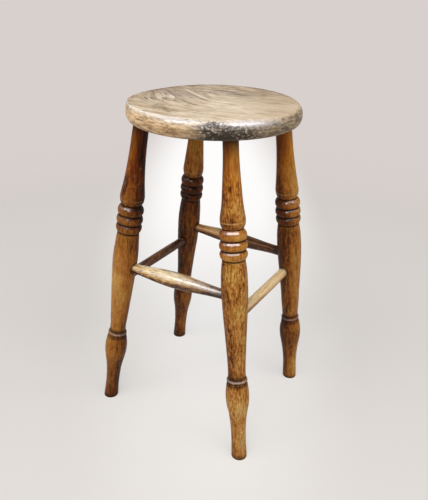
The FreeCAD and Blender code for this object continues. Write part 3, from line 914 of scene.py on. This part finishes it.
def edgeFields(points, plan):
    # soot on the lower half of the front, dusk on the right and back, rubbed arris on the left, pale as wear
    # and as a painted highlight, and a gleam in two parts along the rim's crest with a crazed gap between
    # them
    edge, roll, ahead = seatEdge, plan.roll, plan.ahead
    side, under = softStep(roll, *edge["side"]), softStep(roll, *edge["under"])
    amount, size = edge["ragged"]
    ragged = roll + amount * cloud(points, size, 12)
    crazed = hump(ahead, *edge["crazed"])
    amount, *turn = edge["burnTurn"]
    burn = softStep(ragged + edge["crazedBurn"] * crazed, *edge["burn"])
    burn = burn * np.clip(amount * hump(ahead, *turn), 0.0, 1.0)
    dusk = softStep(ragged, *edge["dusk"]) * np.maximum(plan.right, edge["backDusk"] * plan.back)
    flat, (inner, outer) = seatShape["radius"] - roundOver(plan.angle), edge["rim"]
    nearRim = softStep(plan.radius, flat - inner, flat + outer)
    # wear and painted highlight along the left arris
    arrisWearAndHighlight = hump(roll, *edge["arrisWearAndHighlight"]) * plan.left
    crestFront, crestDrop = edge["crest"]
    crest = crestFront + crestDrop * np.maximum(ahead, 0.0)
    twoParts = np.clip(sum(amount * hump(ahead, *turn) for amount, *turn in edge["parts"]), 0.0, 1.0)
    chipped = softStep(cloud(points, edge["chipSize"], 14, 3), *edge["chips"])
    (least, whole), (lower, width), (most, extra) = edge["chipShares"], edge["polish"], edge["polishShares"]
    polish = nearRim * (least + whole * chipped) * hump(roll, crest + lower, width)
    polish = polish * np.clip(most * twoParts + extra, 0.0, 1.0)
    most, extra = edge["crazeShares"]
    craze = nearRim * hump(roll, *edge["craze"]) * np.clip(most * crazed + extra * twoParts, 0.0, 1.0)
    black = softStep(roll, *edge["black"]) * hump(ahead, *edge["blackTurn"])
    crack = side * (1.0 - under) * (1.0 - edge["wholeFront"] * plan.front)
    gleam = nearRim * hump(roll, crest, edge["gleam"]) * twoParts
    return dict(side=side, under=under, burn=burn, dusk=dusk, wear=edge["rubbed"] * nearRim * arrisWearAndHighlight,
                polish=polish, craze=craze, gleam=gleam, split=plan.lowEdge * plan.splits, black=black,
                crack=crack)


def makeSeat(finish):
    points, roll, faces = seatSurface()
    plan = seatPlan(points, roll)
    points = wornSeat(points, plan)
    fields = {**topFields(points, plan), **edgeFields(points, plan)}
    putMesh("seat", points, faces, fields, finish, "seat")


seatLook = dict(
    name="wornElm", specular=0.25, coatRough=0.14, coatIndex=2.2, relief=0.0007,
    tones=stops((238, 222, 197), (219, 200, 173), (189, 166, 136), (126, 102, 74),
                places=(0.0, 0.30, 0.60, 1.0)),
    # the seam colour is partly a painted shadow beside the pale streak
    blue=tint(158, 148, 138), pale=tint(242, 228, 203), seamAndShadow=tint(112, 92, 76), pore=tint(84, 62, 42),
    side=stops((240, 208, 166), (218, 182, 138), (160, 124, 86)), crack=tint(72, 54, 38),
    dusk=stops((184, 162, 130), (128, 111, 86), (56, 47, 35)),
    burn=stops((28, 24, 19), (60, 51, 42), (138, 122, 102), (220, 208, 188),
               places=(0.0, 0.47, 0.57, 0.72)),
    # the wear colour also paints a highlight along the left arris
    under=tint(118, 92, 66), wear=tint(236, 226, 212), gleam=tint(212, 207, 211), net=tint(64, 54, 46),
    gap=tint(66, 50, 36))
# figure of elm, along and across the grain, and stains over it: lengths, detail, roughness and shift
elmFigure = dict(
    broad=((0.11, 0.008, 0.02), 4.0, 0.55, (1.0, 7.0, 3.0)), fibre=((0.05, 0.0022, 0.0022),),
    dash=((0.028, 0.0034, 0.0030), 2.0, 0.55, (4.0, 2.0, 9.0)),
    smear=((0.030, 0.009, 0.02), 4.0, 0.6, (8.0, 3.0, 1.0)))
elmStains = dict(
    sway=((0.12, 0.05, 0.05), 3.0, 0.55, (2.0, 6.0, 1.0)), blotch=((0.05, 0.03, 0.03), 4.0),
    mottle=((0.030, 0.030, 0.010), 5.0, 0.6, (6.0, 2.0, 5.0)), soot=((0.0058, 0.0058, 0.0040), 4.0, 0.62),
    smoke=((0.013, 0.013, 0.0036), 4.0, 0.65, (2.0, 9.0, 4.0)),
    thin=((0.024, 0.024, 0.0034), 3.0, 0.55, (5.0, 1.0, 3.0)))
elmBands = dict(width=0.0085, sway=0.008, detail=4.0)
elmTones = dict(broad=0.7, bands=0.5, fibre=0.9, blotch=0.7, smear=0.9)      # what each adds to the shade
elmNet = (0.0080, 0.0080, 0.0060)
# between which values of its noise each mark comes up, and from how much to how much
elmLevels = dict(
    stain=(0.34, 0.62), dash=(0.58, 0.69), dashShade=(0.15, 0.6, 0.25, 0.85), scar=(0.32, 0.6, 0.45),
    side=(0.3, 0.75), smoke=(0.3, 0.68, 1.0, 0.0), thin=(0.0, 0.022, 1.0, 0.0), cracked=(0.42, 0.56),
    burnt=(0.25, 0.5, 0.65, 1.3), net=(0.0, 0.17, 1.0, 0.0), rub=(0.35, 0.55, 0.55, 0.95),
    gleam=(0.38, 0.52, 0.5), polish=(0.38, 0.50, 0.5), rough=(0.3, 0.7, 0.40, 0.54))
# strength of the marks in colour, what they take from the polish and add to the roughness, and the relief
elmShares = dict(
    stain=0.75, streak=0.9, dusk=0.9, cracks=0.8, black=-0.12, net=0.8, unpolished=-0.8, polished=-0.20,
    underRough=0.3, sunkLines=-0.8, fibre=0.4, sunkCracks=-1.2, soot=1.6)


def elmFinish(look):
    # worn elm: shade and streaks of several widths along the grain pick a colour; grey stains, a pale streak
    # and dark seams, one a painted shadow beside the streak, lie over the top, cracks and soot over the edge,
    # rubbed wood along the arris that is also a painted highlight
    wood, shares = Finish(bpy.data.materials.new(look["name"])), elmShares
    grain, place, lively = wood.field("grain", "Vector"), wood.objectPlace(), wood.field("lively")
    noise = {name: wood.noise(grain, *figure) for name, figure in elmFigure.items()}
    noise.update({name: wood.noise(place, *stain) for name, stain in elmStains.items()})

    def shown(name, source):
        return wood.level(noise[source], *elmLevels[name])

    def marked(name, *others):
        return wood.times(wood.field(name), *others)

    across = wood.more(wood.node("SeparateXYZ", {0: grain}).outputs[1], noise["sway"], elmBands["sway"])
    values = {"W": across, "Scale": 1.0 / elmBands["width"], "Detail": elmBands["detail"]}
    noise["bands"] = wood.node("TexNoise", values, noise_dimensions="1D").outputs[0]
    tone = wood.field("shade")
    for name, share in elmTones.items():
        tone = wood.more(tone, wood.times(wood.swing(noise[name]), lively), share)
    stains = wood.times(shown("stain", "blotch"), wood.field("blueing"), clamp=True)
    lines = wood.times(shown("dash", "dash"), wood.level(wood.field("shade"), *elmLevels["dashShade"]))
    lines, scarred = wood.times(lines, lively, clamp=True), shown("scar", "fibre")
    thin = wood.level(wood.math("ABSOLUTE", wood.swing(noise["thin"])), *elmLevels["thin"])
    cracks = wood.times(thin, shown("cracked", "mottle"), wood.field("crack"))
    cracks = wood.math("MAXIMUM", cracks, wood.field("split"))
    burnt = wood.times(wood.field("burn"), shown("burnt", "mottle"), clamp=True)
    sooty = wood.more(noise["soot"], wood.field("black"), shares["black"])
    net = wood.times(wood.level(wood.crazing(place, elmNet), *elmLevels["net"]), wood.field("craze"))
    colour = wood.ramp(tone, look["tones"])
    for share, over in (
            (wood.times(stains, shares["stain"]), look["blue"]), (lines, look["pore"]),
            (marked("seamAndShadow", scarred), look["seamAndShadow"]), (marked("streak", shares["streak"]), look["pale"]),
            (wood.field("side"), wood.ramp(shown("side", "mottle"), look["side"])),
            (marked("dusk", shares["dusk"]), wood.ramp(shown("smoke", "smoke"), look["dusk"])),
            (wood.times(cracks, shares["cracks"]), look["crack"]), (burnt, wood.ramp(sooty, look["burn"])),
            (wood.field("under"), look["under"]), (marked("wear", shown("rub", "soot")), look["wear"]),
            (marked("gleam", shown("gleam", "soot")), look["gleam"]),
            (wood.times(net, shares["net"]), look["net"]), (marked("gaps", scarred), look["gap"])):
        colour = wood.blend(share, colour, over)
    polish = marked("polish", shown("polish", "soot"), wood.more(1.0, net, shares["unpolished"]))
    rough = wood.more(shown("rough", "blotch"), polish, shares["polished"])
    rough = wood.more(rough, wood.field("under"), shares["underRough"], clamp=True)
    height = wood.more(wood.times(lines, shares["sunkLines"]), noise["fibre"], shares["fibre"])
    height = wood.more(height, cracks, shares["sunkCracks"])
    height = wood.more(height, wood.times(noise["soot"], wood.field("burn")), shares["soot"])
    return wood.surface(look, colour, rough, polish, height)


makeSeat(elmFinish(seatLook))


# Stage: floor, lamps, camera

# the floor's lit colour; the colour it glows with near and far, and in a painted pool of light, a bright
# oval behind the stool; place, half widths and turn of that oval with the shares over which it fades;
# share and strength of the glow near the stool, which go to 1 over the given distances; light from all round
stageLook = dict(
    radius=30.0, around=96, rings=40, innerRing=0.02, rough=0.75, specular=0.2, plain=tint(216, 213, 209),
    near=tint(210, 205, 200), bright=tint(254, 253, 252), far=tint(216, 208, 205),
    brightAt=(-0.68, 1.18, 0.0), brightReach=(2.4, 0.50, 1.0), brightTurn=(0.0, 0.0, math.radians(120.4)),
    brightFade=(0.32, 0.92), calm=0.50, lift=1.32, calmReach=(0.4, 1.4), farReach=(0.9, 2.2),
    fill=(0.13, 0.13, 0.13, 1.0))


def floorFinish(look):
    # lit matt paint; to the eye and to reflections it mostly glows in a pale colour, with a painted pool of
    # light whitest behind the stool
    paint = Finish(bpy.data.materials.new("paleFloor"))
    paint.feed(paint.shader, {
        "Base Color": look["plain"], "Roughness": look["rough"], "Specular IOR Level": look["specular"]})
    values = {"Vector": paint.objectPlace(), "Location": look["brightAt"], "Scale": look["brightReach"],
              "Rotation": look["brightTurn"]}
    oval = paint.node("Mapping", values, vector_type="TEXTURE").outputs[0]
    fromBright, away = paint.length(oval), paint.length(paint.objectPlace())
    glowColour = paint.blend(paint.level(away, *look["farReach"]), look["near"], look["far"])
    # painted pool of light: the glow is whitest in an oval behind the stool
    glowColour = paint.blend(paint.level(fromBright, *look["brightFade"], 1.0, 0.0), glowColour, look["bright"])
    strength = paint.level(away, *look["calmReach"], look["lift"], 1.0)
    glow = paint.node("Emission", {"Color": glowColour, "Strength": strength})
    share = paint.times(paint.level(away, *look["calmReach"], look["calm"], 1.0), paint.seenRay())
    mix = paint.node("MixShader", {0: share, 1: paint.shader.outputs[0], 2: glow.outputs[0]})
    paint.feed(paint.output, {0: mix.outputs[0]})
    return paint.owner


def makeFloor(look):
    # flat disc: rings of points whose radius grows with the square of the row number
    turn = np.linspace(0.0, 2.0 * math.pi, look["around"], endpoint=False)
    radius = look["radius"] * np.linspace(look["innerRing"], 1.0, look["rings"])[:, None] ** 2
    points = np.stack([radius * np.cos(turn), radius * np.sin(turn), 0.0 * radius * turn], axis=-1)
    rings = np.arange(look["rings"] * look["around"]).reshape(look["rings"], look["around"])
    faces = ringQuads(rings).tolist() + [rings[0].tolist()]
    floor = newPiece("paleFloor", points, faces, floorFinish(look))


makeFloor(stageLook)

lampAim = Vector((0.0, 0.0, 0.4))
lamps = {
    "top": dict(place=(0.42, -0.72, 2.1), size=(4.0, 1.0), power=44.0),
    "front": dict(place=(0.55, -1.75, 1.45), size=(0.9, 0.9), power=13.0),
    "left": dict(place=(-2.0, -1.3, 1.1), size=(1.2, 1.6), power=6.0),
    "right": dict(place=(2.0, 1.0, 1.1), size=(1.2, 1.6), power=6.0),
}
for lampName, lamp in lamps.items():
    light = bpy.data.lights.new(lampName, "AREA")
    light.shape = "RECTANGLE"
    light.size, light.size_y = lamp["size"]
    light.energy = lamp["power"]
    holder = bpy.data.objects.new(lampName, light)
    holder.location = lamp["place"]
    holder.rotation_euler = (lampAim - Vector(lamp["place"])).to_track_quat("-Z", "Y").to_euler()
    bpy.context.scene.collection.objects.link(holder)

sky = Finish(bpy.data.worlds.new("studio"), "Background", "OutputWorld")
sky.feed(sky.shader, {"Color": sky.blend(sky.seenRay(), stageLook["fill"], stageLook["far"])})
bpy.context.scene.world = sky.owner

shot = dict(place=(0.554, -0.944, 0.903), look=(-0.4564, 0.7783, -0.4313), roll=1.358, lens=41.845,
            sensor=36.0, shift=(0.00546, -0.01986))
forward = Vector(shot["look"]).normalized()
level = Vector((-forward.y, forward.x, 0.0)).normalized() * -1.0
upright = level.cross(forward)
roll = math.radians(shot["roll"])
rightward = level * math.cos(roll) + upright * math.sin(roll)
upright = upright * math.cos(roll) - level * math.sin(roll)
lensData = bpy.data.cameras.new("camera")
lensData.sensor_width = shot["sensor"]
lensData.lens = shot["lens"]
lensData.shift_x, lensData.shift_y = shot["shift"]
camera = bpy.data.objects.new("camera", lensData)
turned = Matrix((rightward, upright, -forward)).transposed().to_4x4()
camera.matrix_world = Matrix.Translation(shot["place"]) @ turned
bpy.context.scene.collection.objects.link(camera)
bpy.context.scene.camera = camera
bpy.context.scene.view_settings.view_transform = "Standard"
print("stage, lamps and camera placed")

bpy.context.view_layer.update()
